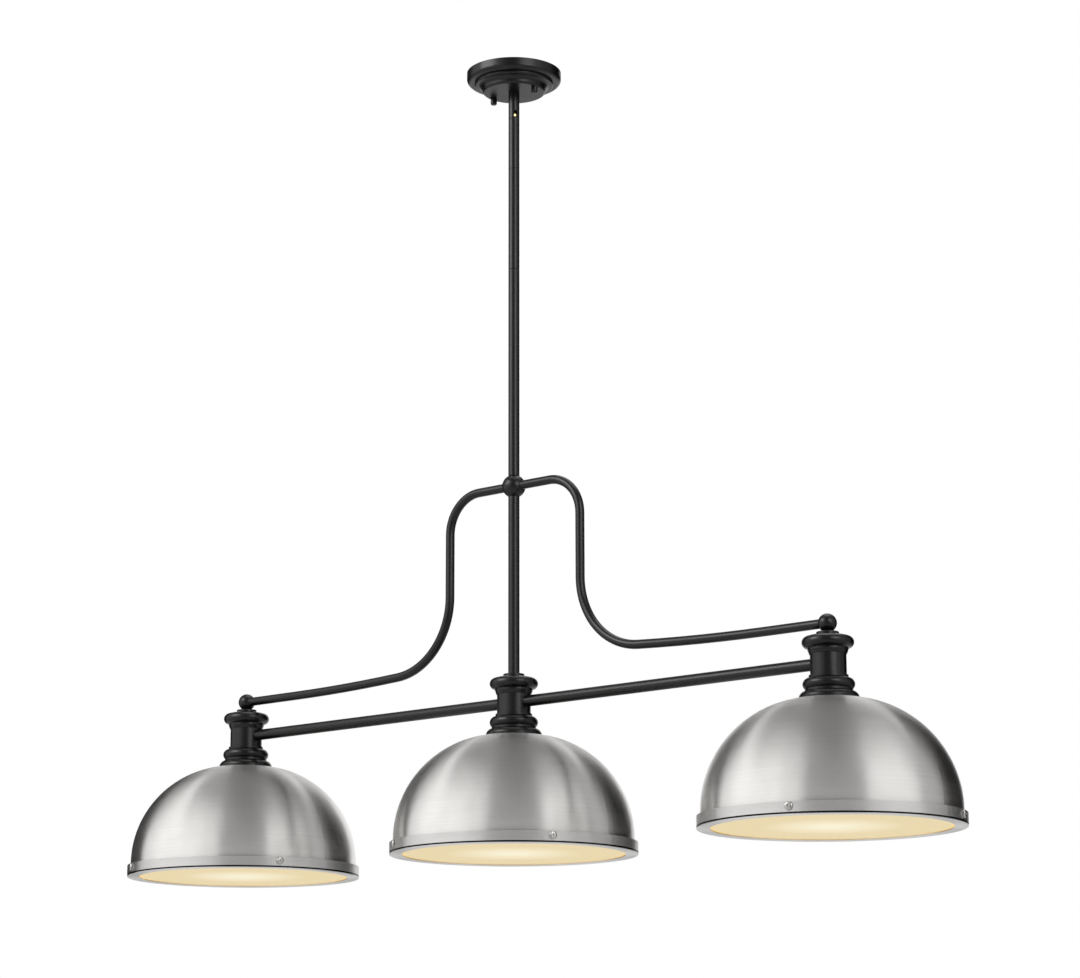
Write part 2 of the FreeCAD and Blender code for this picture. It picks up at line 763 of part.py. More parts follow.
# ---------------------------------------------------------------- caps and cups
def make_cap(lamp, across):
    bore = S.rod_bore if lamp == "centre" else S.end_stud_radius
    middle = flange_level - S.flange_height * 0.56
    shoulder = S.flange_radius - S.flange_round * 0.87
    outline = [
        (bore, cap_level),
        (bore, flange_level - S.cap_ceiling),
        (S.cap_bore, flange_level - S.cap_ceiling),
        (S.cap_bore, neck_top_level),
        (S.neck_radius + S.fit_clearance, neck_top_level),
        (S.neck_radius + S.fit_clearance, cap_foot_level),
        (S.neck_radius + S.cap_foot_edge, cap_foot_level),
        (S.cap_ring_radius, ring_top_level - S.cap_ring_straight),
        (S.cap_ring_radius, ring_top_level),
        (shoulder, ring_top_level),
        (S.flange_radius, middle, S.flange_round, 1),
        (shoulder, flange_level - S.flange_crown, S.flange_round, 1),
        (S.cap_disc_radius, flange_level, S.flange_radius * 1.3, 1),
        (S.cap_disc_radius, cap_level - S.cap_disc_round),
        (S.cap_disc_radius - S.cap_disc_round, cap_level, S.cap_disc_round, 1),
    ]
    keep(f"cap_{lamp}", turned(f"cap_{lamp}", outline, x=across))


def make_cup(lamp, across):
    inner = S.neck_radius - S.neck_wall
    bead_top = neck_foot_level - S.neck_ring_height
    bead_middle = bead_top - S.bead_height * 0.52
    bead_foot = bead_top - S.bead_height
    flare_top = cup_base_level + S.flare_height
    hollow = S.waist_radius - S.cup_wall
    recess = S.holder_radius + S.web_recess_clearance
    recess_foot = holder_level - S.web_recess_depth
    edge = S.neck_ring_edge
    outline = [
        (inner, neck_top_level),
        (inner, web_level),
        (S.nipple_radius, web_level),
        (S.nipple_radius, holder_level),
        (recess, holder_level),
        (recess, recess_foot),
        (hollow, bead_foot + S.web_recess_depth),
        (hollow, cup_base_level),
        (S.flare_radius, cup_base_level),
        (S.flare_radius, cup_base_level + S.flare_edge),
        (S.waist_radius + S.flare_step, flare_top, S.flare_height, 1),
        (S.waist_radius, flare_top),
        (S.waist_radius, bead_foot),
        (S.bead_radius, bead_middle, S.bead_height * 0.6, 1),
        (S.neck_radius + edge, bead_top, S.bead_height * 0.6, 1),
        (S.neck_ring_radius, bead_top + edge),
        (S.neck_ring_radius, neck_foot_level - edge),
        (S.neck_radius, neck_foot_level),
        (S.neck_radius, neck_top_level),
    ]
    blank = turned(f"cup_blank_{lamp}", outline, x=across)
    start = across if lamp == "left" else across - S.neck_radius
    length = S.neck_radius * (2 if lamp == "centre" else 1)
    hole = cylinder(f"cup_bar_hole_{lamp}", S.rod_radius, length, x=start, z=bar_level,
                    rotation=ALONG_X)
    keep(f"cup_{lamp}", cut(f"cup_{lamp}", blank, hole))


# ---------------------------------------------------------------- lamp holders and bulbs
def make_holders():
    nipples = []
    nuts = []
    shells = []
    shade_nuts = []
    for lamp, across in LAMPS.items():
        foot = holder_level - S.holder_length
        cavity = holder_level - S.holder_top
        thread_end = holder_level - S.holder_thread
        edge = S.holder_edge
        outline = [(S.nipple_radius, holder_level), (S.nipple_radius, thread_end),
                   (0, thread_end), (0, cavity), (S.holder_bore, cavity),
                   (S.holder_bore, foot), (S.holder_radius - edge, foot),
                   (S.holder_radius, foot + edge), (S.holder_radius, holder_level)]
        keep(f"lamp_holder_{lamp}", turned(f"lamp_holder_{lamp}", outline, x=across))
        nipples.append(turned(f"holder_nipple_{lamp}",
                              ring_outline(S.nipple_bore, S.nipple_radius, thread_end,
                                           web_level + S.locknut_height + S.nipple_tail),
                              x=across))
        blank = hexagon(f"holder_nut_blank_{lamp}", S.locknut_radius, S.locknut_height, x=across,
                        z=web_level)
        hole = cylinder(f"holder_nut_hole_{lamp}", S.nipple_radius, S.locknut_height, x=across,
                        z=web_level)
        nuts.append(cut(f"holder_nut_{lamp}", blank, hole))
        shells.append(turned(f"socket_shell_{lamp}",
                             ring_outline(S.holder_bore - S.shell_wall, S.holder_bore,
                                          foot + S.shell_inset, cavity - S.shell_inset),
                             x=across))
        shells.append(turned(f"socket_contact_{lamp}",
                             rod_outline(S.contact_radius, cavity - S.contact_height, cavity),
                             x=across))
        shade_foot = shade_level - S.shade_wall - S.shade_nut_height
        shade_nuts.append(turned(f"shade_nut_{lamp}",
                                 ring_outline(S.holder_radius, S.shade_nut_radius, shade_foot,
                                              shade_level - S.shade_wall), x=across))
    keep("holder_nipples", group("holder_nipples", nipples))
    keep("holder_locknuts", group("holder_locknuts", nuts))
    keep("socket_contacts", group("socket_contacts", shells))
    keep("shade_nuts", group("shade_nuts", shade_nuts))


def make_bulb(lamp, across):
    tip = holder_level - S.holder_top - S.contact_height - S.bulb_gap
    centre = tip - S.bulb_length + S.bulb_radius
    neck = tip - S.bulb_base_length
    base = S.bulb_base_radius
    joint = S.bulb_radius * 0.85
    outline = [
        (0, tip),
        (0, centre - S.bulb_radius),
        (S.bulb_radius, centre, S.bulb_radius, 1),
        (joint, centre + leg(S.bulb_radius, joint), S.bulb_radius, 1),
        (base + S.bulb_seam, neck, S.bulb_radius * 2, -1),
        (base, neck),
        (base, tip - S.bulb_shoulder),
        (S.bulb_tip_radius, tip - S.bulb_tip_height),
        (S.bulb_tip_radius, tip),
    ]
    keep(f"bulb_{lamp}", turned(f"bulb_{lamp}", outline, x=across))


# ---------------------------------------------------------------- shades, rings and glasses
def polar(across, radius, angle):
    return (across + radius * math.cos(math.radians(angle)),
            radius * math.sin(math.radians(angle)))


def screw_angles(lamp):
    return [RING_TURNS[lamp] + 360.0 / SCREWS_PER_RING * number
            for number in range(SCREWS_PER_RING)]


def make_shade(lamp, across):
    width = S.shade_radius - S.shade_crown_radius
    bend = (width * width + S.shade_rise * S.shade_rise) / (width * 2)
    centre = S.shade_radius - bend
    inner = bend - S.shade_wall
    inner_top = spring_level + leg(inner, S.shade_crown_radius - centre)
    outline = [
        (S.shade_hole, shade_level),
        (S.shade_hole, shade_level - S.shade_wall),
        (S.shade_crown_radius - S.shade_crown_bend, shade_level - S.shade_wall),
        (S.shade_crown_radius, inner_top),
        (S.shade_radius - S.shade_wall, spring_level, inner, -1),
        (S.shade_radius - S.shade_wall, shade_rim_level),
        (S.shade_radius, shade_rim_level),
        (S.shade_radius, spring_level),
        (S.shade_crown_radius, shade_level, bend, 1),
    ]
    dome = turned(f"shade_blank_{lamp}", outline, x=across)
    notches = []
    radius = S.screw_radius + S.screw_clearance
    for number, angle in enumerate(screw_angles(lamp)):
        turn = about((0, 0, 1), angle)
        start_x, start_y = polar(across, S.shade_radius - S.shade_wall * 3, angle)
        round_top = cylinder(f"notch_round_{lamp}_{number}", radius, S.shade_wall * 6, x=start_x,
                             y=start_y, z=screw_level, rotation=turn.multiply(ALONG_X))
        corner = radius * -1
        slot = box(f"notch_slot_{lamp}_{number}",
                   start_x - corner * math.sin(math.radians(angle)),
                   start_y + corner * math.cos(math.radians(angle)),
                   shade_rim_level - S.tool_overrun, S.shade_wall * 6, radius * 2,
                   screw_level - shade_rim_level + S.tool_overrun)
        slot.Placement = FreeCAD.Placement(slot.Placement.Base, turn)
        notches.extend([round_top, slot])
    keep(f"shade_{lamp}", cut(f"shade_{lamp}", dome, *notches))


def make_ring(lamp, across):
    radius = band_radius
    wall = S.band_wall
    groove = radius - S.band_groove_depth
    groove_low = ring_level + S.band_edge
    groove_high = groove_low + S.band_groove_height
    top = ring_level + S.band_height
    collar = S.shade_radius + S.band_clearance
    outline = [
        (lip_radius, ring_level),
        (radius, ring_level),
        (radius, groove_low),
        (groove, groove_low),
        (groove, groove_high),
        (radius, groove_high),
        (radius, top),
        (collar, top),
        (collar, top - wall),
        (radius - wall, top - wall),
        (radius - wall, ring_level + S.lip_thickness),
        (lip_radius, ring_level + S.lip_thickness),
    ]
    blank = turned(f"ring_blank_{lamp}", outline, x=across)
    holes = []
    for number, angle in enumerate(screw_angles(lamp)):
        start_x, start_y = polar(across, radius - wall * 2, angle)
        holes.append(cylinder(f"ring_hole_{lamp}_{number}", S.screw_radius, wall * 3, x=start_x,
                              y=start_y, z=screw_level,
                              rotation=about((0, 0, 1), angle).multiply(ALONG_X)))
    keep(f"ring_{lamp}", cut(f"ring_{lamp}", blank, *holes))


def make_glass(lamp, across):
    low = ring_level + S.lip_thickness
    outline = rod_outline(glass_radius, low, low + S.glass_thickness)
    keep(f"glass_{lamp}", turned(f"glass_{lamp}", outline, x=across))


def make_ring_screws(lamp, across):
    """Each screw is drawn with its head's seat at height 0, pointing outwards along +Z."""
    head = S.screw_head_radius
    high = S.screw_head_height
    inside = S.band_reach + S.shade_wall + S.fit_clearance
    depth = inside + S.screw_nut_thickness
    outline = [(0, -depth), (S.screw_radius, -depth), (S.screw_radius, 0), (head, 0),
               (head, high * 0.35), (head * 0.45, high, head, 1), (head * 0.22, high),
               (0, high * 0.7)]
    pieces = []
    for number, angle in enumerate(screw_angles(lamp)):
        turn = about((0, 0, 1), angle).multiply(ALONG_X)
        seat_x, seat_y = polar(across, band_radius, angle)
        pieces.append(turned(f"ring_screw_{lamp}_{number}", outline, x=seat_x, y=seat_y,
                             z=screw_level, rotation=turn))
        nut_x, nut_y = polar(across, band_radius - depth, angle)
        blank = hexagon(f"ring_nut_blank_{lamp}_{number}", S.screw_nut_radius,
                        S.screw_nut_thickness, x=nut_x, y=nut_y, z=screw_level, rotation=turn)
        hole = cylinder(f"ring_nut_hole_{lamp}_{number}", S.screw_radius, S.screw_nut_thickness,
                        x=nut_x, y=nut_y, z=screw_level, rotation=turn)
        pieces.append(cut(f"ring_nut_{lamp}_{number}", blank, hole))
    keep(f"ring_screws_{lamp}", group(f"ring_screws_{lamp}", pieces))


# ---------------------------------------------------------------- wiring
def make_wiring():
    pair = (-1, 1)
    block_top = cap_level - S.block_drop
    block_foot = block_top - S.block_height
    start = holder_level - S.holder_thread
    lamp_leads = []
    for lamp, across in LAMPS.items():
        for wire in pair:
            offset = S.wire_offset * wire
            if lamp == "centre":
                outline = rod_outline(S.wire_radius, start, block_foot)
                lamp_leads.append(turned(f"lead_centre_{wire}", outline, y=offset))
                continue
            rise = bar_level - start
            run = S.lamp_spacing - S.block_pitch
            bend = S.wire_bend
            end = block_foot - start
            route = [(0, 0), (0, rise - bend), (bend, rise, bend, -1), (run - bend, rise),
                     (run, rise + bend, bend, 1), (run, end)]
            rotation = HALF_TURN if lamp == "right" else None
            lamp_leads.append(piped(f"lead_{lamp}_{wire}", route, S.wire_radius, x=across,
                                    y=offset, z=start, rotation=rotation))
    keep("lamp_leads", group("lamp_leads", lamp_leads))

    block = box("terminal_block", -S.block_length / 2, -S.block_width / 2, block_foot,
                S.block_length, S.block_width, S.block_height)
    keep("terminal_block", block)

    top = pivot_level - S.tongue_depth
    outline = rod_outline(S.wire_radius, block_top, top)
    keep("stem_leads", group("stem_leads", [turned(f"stem_lead_{wire}", outline,
                                                   y=S.wire_offset * wire) for wire in pair]))

    canopy_leads = []
    connectors = []
    low = pivot_level + S.tongue_radius + S.wire_start
    bend = S.canopy_wire_bend
    rise = -S.canopy_wire_level - low
    route = [(0, 0), (0, rise - bend), (bend, rise, bend, -1), (S.connector_start, rise)]
    for wire in pair:
        rotation = HALF_TURN if wire < 0 else None
        offset = S.wire_offset * wire
        canopy_leads.append(piped(f"canopy_lead_{wire}", route, S.wire_radius, y=offset, z=low,
                                  rotation=rotation))
        outline = [(0, 0), (S.connector_radius, 0), (S.connector_radius * 0.65,
                                                     S.connector_length), (0, S.connector_length)]
        aim = ALONG_X if wire > 0 else HALF_TURN.multiply(ALONG_X)
        connectors.append(turned(f"connector_{wire}", outline, x=S.connector_start * wire,
                                 y=offset, z=-S.canopy_wire_level, rotation=aim))
    keep("canopy_leads", group("canopy_leads", canopy_leads))
    keep("wire_connectors", group("wire_connectors", connectors))

    screw_foot = -S.strap_thickness - S.ground_head_height
    wire_level = -S.canopy_depth + S.canopy_wall + S.wire_radius + S.wire_gap
    drop = screw_foot - wire_level
    run = S.ground_screw_offset - S.locknut_radius * math.cos(math.radians(30.0))
    route = [(0, 0), (0, drop - bend), (bend, drop, bend, -1), (run, drop)]
    aim = about((0, 0, 1), -90).multiply(about((1, 0, 0), 180))
    keep("ground_lead", piped("ground_lead", route, S.wire_radius, y=S.ground_screw_offset,
                              z=screw_foot, rotation=aim))


# ---------------------------------------------------------------- build, check and write
def check(thing):
    states = [str(state) for state in thing.State]
    if "Invalid" in states or "Error" in states:
        raise RuntimeError(f"{thing.Label} failed: {states}")


def main():
    make_box_strap()
    make_stud_strap()
    make_strap_eyelet()
    make_studs()
    make_ground_screw()
    make_canopy()
    make_canopy_nipple()
    make_swivel()
    make_stems()
    make_cross_ball()
    make_arms()
    make_end_balls()
    make_bars()
    for lamp, across in LAMPS.items():
        make_cap(lamp, across)
        make_cup(lamp, across)
        make_bulb(lamp, across)
        make_shade(lamp, across)
        make_ring(lamp, across)
        make_glass(lamp, across)
        make_ring_screws(lamp, across)
    make_holders()
    make_wiring()
    document.recompute()
    for thing in document.Objects:
        check(thing)
    os.makedirs("parts", exist_ok=True)
    for sub_part in sub_parts:
        shape = sub_part.Shape
        if shape.isNull() or not shape.isValid() or not shape.Solids:
            raise RuntimeError(f"{sub_part.Label} has no valid solid")
    for sub_part in sub_parts:
        sub_part.Shape.exportStep(os.path.join("parts", f"{sub_part.Label}.step"))
        print(sub_part.Label, len(sub_part.Shape.Solids), round(sub_part.Shape.Volume, 1))
    print("ring underside", round(ring_level.number, 2), "nodes", len(sub_parts))


main()
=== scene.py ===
"""Looks of the linear island pendant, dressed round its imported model.

The shapes come from the CAD nodes. This script gives each of them its finish, swaps the small
parts that a lathe or a mould details further, and sets up the studio that the photograph shows.
"""

import logging
import math
from dataclasses import dataclass, field
from enum import Enum
from typing import Optional, Sequence

import bmesh
import bpy
from mathutils import Euler, Matrix, Vector


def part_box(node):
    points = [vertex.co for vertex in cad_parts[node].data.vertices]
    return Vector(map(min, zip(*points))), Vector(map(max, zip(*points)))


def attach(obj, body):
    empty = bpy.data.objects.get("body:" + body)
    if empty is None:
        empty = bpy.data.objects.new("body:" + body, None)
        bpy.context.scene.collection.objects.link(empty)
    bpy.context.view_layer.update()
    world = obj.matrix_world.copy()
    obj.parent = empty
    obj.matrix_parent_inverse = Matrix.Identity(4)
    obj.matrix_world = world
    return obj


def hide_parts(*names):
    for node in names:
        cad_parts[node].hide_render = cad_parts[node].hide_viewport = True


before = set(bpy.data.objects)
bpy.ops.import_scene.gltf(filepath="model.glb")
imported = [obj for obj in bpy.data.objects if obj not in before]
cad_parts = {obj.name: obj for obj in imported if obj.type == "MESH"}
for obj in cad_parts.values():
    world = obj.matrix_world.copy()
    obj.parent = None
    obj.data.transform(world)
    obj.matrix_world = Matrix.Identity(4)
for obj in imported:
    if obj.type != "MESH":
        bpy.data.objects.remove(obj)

LOG = logging.getLogger("pendant")
MM = 0.001
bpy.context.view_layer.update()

Colour = tuple[float, float, float]
Outline = Sequence[tuple[float, float]]
Node = bpy.types.Node
Socket = bpy.types.NodeSocket

WHITE = (1.0, 1.0, 1.0, 1.0)
BLACK = (0.0, 0.0, 0.0, 1.0)

# The stretch of a noise's values that a remap uses.
NOISE_NARROW = (0.35, 0.65)
NOISE_WIDE = (0.3, 0.7)


class Lamp(Enum):
    """The three lamps, each by its place along the bars."""

    LEFT = "left"
    CENTRE = "centre"
    RIGHT = "right"

    def axis_x(self) -> float:
        """The x of the lamp's upright axis, in metres, read from its glass."""
        low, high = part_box(f"glass_{self.value}")
        return (low.x + high.x) / 2


# ---------------------------------------------------------------- node trees
class Canvas:
    """Adds and joins the nodes of one tree."""

    def __init__(self, tree: bpy.types.NodeTree) -> None:
        """Keep the tree that the nodes go into."""
        self.tree = tree

    def add(self, kind: str, inputs: Optional[dict] = None, **settings: object) -> Node:
        """Add a node.

        Args:
            kind: The node's Blender type.
            inputs: Values or sockets, by the name or number of the input.
            settings: The node's own properties.

        Returns:
            The new node.
        """
        node = self.tree.nodes.new(kind)
        for name, value in settings.items():
            setattr(node, name, value)
        self.feed(node, inputs or {})
        return node

    def feed(self, node: Node, inputs: dict) -> None:
        """Set a node's inputs to values, or link them to sockets."""
        for key, value in inputs.items():
            if isinstance(value, Socket):
                self.tree.links.new(value, node.inputs[key])
            else:
                node.inputs[key].default_value = value

    def math(self, operation: str, *values: object) -> Socket:
        """Add a Math node and return its result."""
        return self.add("ShaderNodeMath", dict(enumerate(values)), operation=operation).outputs[0]

    def vector(self, operation: str, *values: object) -> Node:
        """Add a Vector Math node and return it."""
        return self.add("ShaderNodeVectorMath", dict(enumerate(values)), operation=operation)

    def remap(self, value: Socket, low: float, high: float, to_low: float,
              to_high: float) -> Socket:
        """Add a clamped Map Range node and return its result."""
        inputs = {0: value, 1: low, 2: high, 3: to_low, 4: to_high}
        return self.add("ShaderNodeMapRange", inputs).outputs[0]

    def mix(self, amount: object, first: object, second: object) -> Socket:
        """Add a colour Mix node and return its colour."""
        node = self.add("ShaderNodeMix", {0: amount, 6: first, 7: second}, data_type="RGBA")
        return node.outputs[2]

    def combine(self, *parts: Socket) -> Socket:
        """Add a Combine XYZ node and return its vector."""
        return self.add("ShaderNodeCombineXYZ", dict(enumerate(parts))).outputs[0]

    def noise(self, place: Socket, **inputs: object) -> Socket:
        """Add a Noise Texture node and return its grey value."""
        return self.add("ShaderNodeTexNoise", {"Vector": place, **inputs}).outputs[0]

    def bump(self, height: Socket, strength: float, distance: float) -> Socket:
        """Add a Bump node and return its normal."""
        inputs = {"Height": height, "Strength": strength, "Distance": distance}
        return self.add("ShaderNodeBump", inputs).outputs[0]

    def axis_distance(self, place: Socket) -> Socket:
        """Return the distance of a place from the upright axis."""
        flat = self.vector("MULTIPLY", place, (1.0, 1.0, 0.0))
        return self.vector("LENGTH", flat.outputs[0]).outputs[1]


class EffectGroup:
    """A shader node group that several finishes share, built once."""

    name = "effect"
    inputs: Sequence[tuple[str, float]] = ()
    outputs: Sequence[str] = ()

    def tree(self) -> bpy.types.NodeTree:
        """Return the group's tree, made on the first call."""
        found = bpy.data.node_groups.get(self.name)
        if found:
            return found
        tree = bpy.data.node_groups.new(self.name, "ShaderNodeTree")
        face = tree.interface
        face.new_socket("Vector", in_out="INPUT", socket_type="NodeSocketVector")
        for name, value in self.inputs:
            socket = face.new_socket(name, in_out="INPUT", socket_type="NodeSocketFloat")
            socket.default_value = value
        for name in self.outputs:
            face.new_socket(name, in_out="OUTPUT", socket_type="NodeSocketFloat")
        canvas = Canvas(tree)
        source = tree.nodes.new("NodeGroupInput")
        sink = tree.nodes.new("NodeGroupOutput")
        for name, socket in self.fill(canvas, source).items():
            tree.links.new(socket, sink.inputs[name])
        return tree

    def fill(self, canvas: Canvas, source: Node) -> dict[str, Socket]:
        """Build the group's nodes and return its outputs by name."""
        raise NotImplementedError

    def place(self, canvas: Canvas, vector: Socket, **values: float) -> Node:
        """Put the group in a material.

        Args:
            canvas: The material's canvas.
            vector: Object coordinates.
            values: The group's inputs, with _ for a space.

        Returns:
            The group node.
        """
        inputs = {name.replace("_", " "): value for name, value in values.items()}
        return canvas.add("ShaderNodeGroup", {"Vector": vector, **inputs}, node_tree=self.tree())


class SpunLines(EffectGroup):
    """Fine rings that a spinning or turning tool leaves round an upright axis."""

    name = "spun_lines"
    inputs = (("Pitch", 1400.0), ("Drift", 9.0))
    outputs = ("Line", "Band", "Smudge")
    band_share = 0.09
    smudge_scale = 14.0

    def fill(self, canvas: Canvas, source: Node) -> dict[str, Socket]:
        """Build ring noise on the distance along the profile, with no seam round the axis."""
        place = source.outputs["Vector"]
        split = canvas.add("ShaderNodeSeparateXYZ", {0: place})
        along = canvas.math("SUBTRACT", canvas.axis_distance(place), split.outputs[2])
        fine = canvas.math("MULTIPLY", along, source.outputs["Pitch"])
        wide = canvas.math("MULTIPLY", fine, self.band_share)
        sides = [canvas.math("MULTIPLY", split.outputs[axis], source.outputs["Drift"])
                 for axis in (0, 1)]
        line = canvas.noise(canvas.combine(*sides, fine), Scale=1.0, Detail=2.0, Roughness=0.6)
        band = canvas.noise(canvas.combine(*sides, wide), Scale=1.0, Detail=1.0)
        smudge = canvas.noise(place, Scale=self.smudge_scale, Detail=3.0)
        return {"Line": line, "Band": band, "Smudge": smudge}


class FineGrain(EffectGroup):
    """The tooth of paint, plating or moulded plastic, with a slow drift over it."""

    name = "fine_grain"
    inputs = (("Grain Scale", 1200.0), ("Drift Scale", 18.0))
    outputs = ("Grain", "Drift")

    def fill(self, canvas: Canvas, source: Node) -> dict[str, Socket]:
        """Build one fine and one wide noise."""
        place = source.outputs["Vector"]
        grain = canvas.noise(place, Scale=source.outputs["Grain Scale"], Detail=3.0)
        drift = canvas.noise(place, Scale=source.outputs["Drift Scale"], Detail=2.0)
        return {"Grain": grain, "Drift": drift}


SPUN_LINES = SpunLines()
FINE_GRAIN = FineGrain()


# ---------------------------------------------------------------- finishes
def shade_of(colour: Colour, factor: float) -> tuple[float, float, float, float]:
    """A colour made lighter or darker, with full alpha."""
    return (colour[0] * factor, colour[1] * factor, colour[2] * factor, 1.0)


def begin(name: str) -> tuple[bpy.types.Material, Canvas, Node]:
    """Make a material.

    Args:
        name: The material's name.

    Returns:
        The material, its canvas and its Principled shader.
    """
    material = bpy.data.materials.new(name)
    material.use_nodes = True
    return material, Canvas(material.node_tree), material.node_tree.nodes["Principled BSDF"]


@dataclass(frozen=True)
class Finish:
    """What every surface finish has."""

    name: str
    colour: Colour

    def mottle(self, canvas: Canvas, noise: Socket, contrast: float) -> Socket:
        """The colour, a little darker and lighter by turns as a noise says."""
        return canvas.mix(canvas.remap(noise, *NOISE_NARROW, 0.0, 1.0),
                          shade_of(self.colour, 1.0 - contrast),
                          shade_of(self.colour, 1.0 + contrast))

    def coordinates(self, canvas: Canvas, centre_x: float = 0.0) -> Socket:
        """Object coordinates, moved so that an upright axis at centre_x is the middle."""
        place = canvas.add("ShaderNodeTexCoord").outputs["Object"]
        if not centre_x:
            return place
        shift = {"Vector": place, "Location": (-centre_x, 0.0, 0.0)}
        return canvas.add("ShaderNodeMapping", shift).outputs[0]

    def material(self) -> bpy.types.Material:
        """Build the material."""
        raise NotImplementedError


@dataclass(frozen=True)
class Groove:
    """A turned groove in shadow: its heights and its least radius, in metres."""

    low: float
    high: float
    floor: float

    def mask(self, canvas: Canvas, place: Socket) -> Socket:
        """One in the groove and nought elsewhere, from coordinates about the axis."""
        height = canvas.add("ShaderNodeSeparateXYZ", {0: place}).outputs[2]
        above = canvas.math("GREATER_THAN", height, self.low)
        below = canvas.math("LESS_THAN", height, self.high)
        outside = canvas.math("GREATER_THAN", canvas.axis_distance(place), self.floor)
        return canvas.math("MULTIPLY", canvas.math("MULTIPLY", above, below), outside)


@dataclass(frozen=True)
class SpunMetal(Finish):
    """Bare metal spun on a lathe and brushed round its axis."""

    axis_x: float = 0.0
    roughness: float = 0.37
    line_wear: float = 0.05
    smudge_wear: tuple[float, float] = (-0.03, 0.04)
    anisotropy: float = 0.9
    across_brush: float = 0.25
    contrast: float = 0.05
    line_share: float = 0.85
    pitch: float = 1400.0
    smudge_tone: float = 0.8
    smudge_range: tuple[float, float] = (0.5, 0.75)
    smudge_most: float = 0.25
    relief: float = 0.05
    line_depth: float = 0.0002
    groove: Optional[Groove] = None
    groove_shadow_tone: float = 0.03

    def darken_groove(self, canvas: Canvas, place: Socket, colour: Socket) -> Socket:
        """Paint shade into the groove, where the finish has one."""
        if self.groove is None:
            return colour
        # Painted shade: the groove's colour is darkened to stand for the shadow that falls in it.
        shadow = shade_of(self.colour, self.groove_shadow_tone)
        return canvas.mix(self.groove.mask(canvas, place), colour, shadow)

    def material(self) -> bpy.types.Material:
        """Build the brushed metal: rings in colour, roughness and relief."""
        material, canvas, shader = begin(self.name)
        place = self.coordinates(canvas, self.axis_x)
        rings = SPUN_LINES.place(canvas, place, Pitch=self.pitch)
        line, band, smudge = (rings.outputs[name] for name in SPUN_LINES.outputs)
        tone = canvas.math("ADD", canvas.math("MULTIPLY", line, self.line_share),
                           canvas.math("MULTIPLY", band, 1.0 - self.line_share))
        colour = self.mottle(canvas, tone, self.contrast)
        dull = canvas.remap(smudge, *self.smudge_range, 0.0, self.smudge_most)
        colour = canvas.mix(dull, colour, shade_of(self.colour, self.smudge_tone))
        smooth, dulled = (self.roughness + wear for wear in self.smudge_wear)
        rough = canvas.math("ADD",
                            canvas.remap(line, *NOISE_WIDE, -self.line_wear, self.line_wear),
                            canvas.remap(smudge, *NOISE_WIDE, smooth, dulled))
        tangent = canvas.add("ShaderNodeTangent", direction_type="RADIAL", axis="Z")
        canvas.feed(shader, {
            "Metallic": 1.0,
            "Anisotropic": self.anisotropy,
            "Anisotropic Rotation": self.across_brush,
            "Base Color": self.darken_groove(canvas, place, colour),
            "Roughness": rough,
            "Normal": canvas.bump(line, self.relief, self.line_depth),
            "Tangent": tangent.outputs[0]})
        return material


@dataclass(frozen=True)
class Coated(Finish):
    """Paint, plating, moulded plastic or bare metal: a fine tooth over an even colour."""

    metallic: float = 0.0
    roughness: float = 0.4
    grain_wear: float = 0.03
    drift_wear: float = 0.04
    specular: float = 0.5
    variation: float = 0.12
    grain_scale: float = 1200.0
    relief: float = 0.08
    grain_depth: float = 0.0001

    def material(self) -> bpy.types.Material:
        """Build the coated surface."""
        material, canvas, shader = begin(self.name)
        place = self.coordinates(canvas)
        grain = FINE_GRAIN.place(canvas, place, Grain_Scale=self.grain_scale)
        fine, drift = (grain.outputs[name] for name in FINE_GRAIN.outputs)
        smooth, dulled = self.roughness - self.drift_wear, self.roughness + self.drift_wear
        rough = canvas.math("ADD",
                            canvas.remap(fine, *NOISE_WIDE, -self.grain_wear, self.grain_wear),
                            canvas.remap(drift, *NOISE_WIDE, smooth, dulled))
        canvas.feed(shader, {
            "Metallic": self.metallic,
            "Specular IOR Level": self.specular,
            "Base Color": self.mottle(canvas, drift, self.variation),
            "Roughness": rough,
            "Normal": canvas.bump(fine, self.relief, self.grain_depth)})
        return material


@dataclass(frozen=True)
class LitGlass(Finish):
    """Frosted glass with the bulb's light painted on as a glow: white in the middle, amber at the
    rim, and a painted amber line of light at the edge.
    """

    axis_x: float = 0.0
    # Colours of the painted glow: amber towards the rim, and a brighter amber line of light at the
    # edge.
    painted_rim_glow: Colour = (0.62, 0.47, 0.18)
    painted_edge_glow: Colour = (1.0, 0.55, 0.03)
    unlit_colour: Colour = (0.36, 0.34, 0.29)
    edge_radius: float = 0.1542
    edge_width: float = 0.005
    bright_share: float = 0.6
    falloff: float = 1.2
    specular: float = 0.2
    glow: float = 0.78
    grain_scale: float = 2500.0
    roughness: tuple[float, float] = (0.42, 0.55)
    relief: float = 0.1
    grain_depth: float = 0.00005

    def material(self) -> bpy.types.Material:
        """Build the glass with its painted glow."""
        material, canvas, shader = begin(self.name)
        place = self.coordinates(canvas, self.axis_x)
        radius = canvas.axis_distance(place)
        # Painted light: the glow is brightest in the middle and fades to amber at the rim, as the
        # bulb behind would light it.
        away = canvas.remap(radius, 0.0, self.edge_radius * self.bright_share, 0.0, 1.0)
        away = canvas.math("POWER", away, self.falloff)
        glow = canvas.mix(away, (*self.colour, 1.0), (*self.painted_rim_glow, 1.0))
        # Painted light: a thin amber line of glow at the glass's edge.
        line = canvas.remap(radius, self.edge_radius - self.edge_width, self.edge_radius, 0.0, 1.0)
        glow = canvas.mix(line, glow, (*self.painted_edge_glow, 1.0))
        grain = FINE_GRAIN.place(canvas, place, Grain_Scale=self.grain_scale).outputs["Grain"]
        canvas.feed(shader, {
            "Base Color": (*self.unlit_colour, 1.0),
            "Specular IOR Level": self.specular,
            "Emission Strength": self.glow,
            "Emission Color": glow,
            "Roughness": canvas.remap(grain, *NOISE_WIDE, *self.roughness),
            "Normal": canvas.bump(grain, self.relief, self.grain_depth)})
        return material


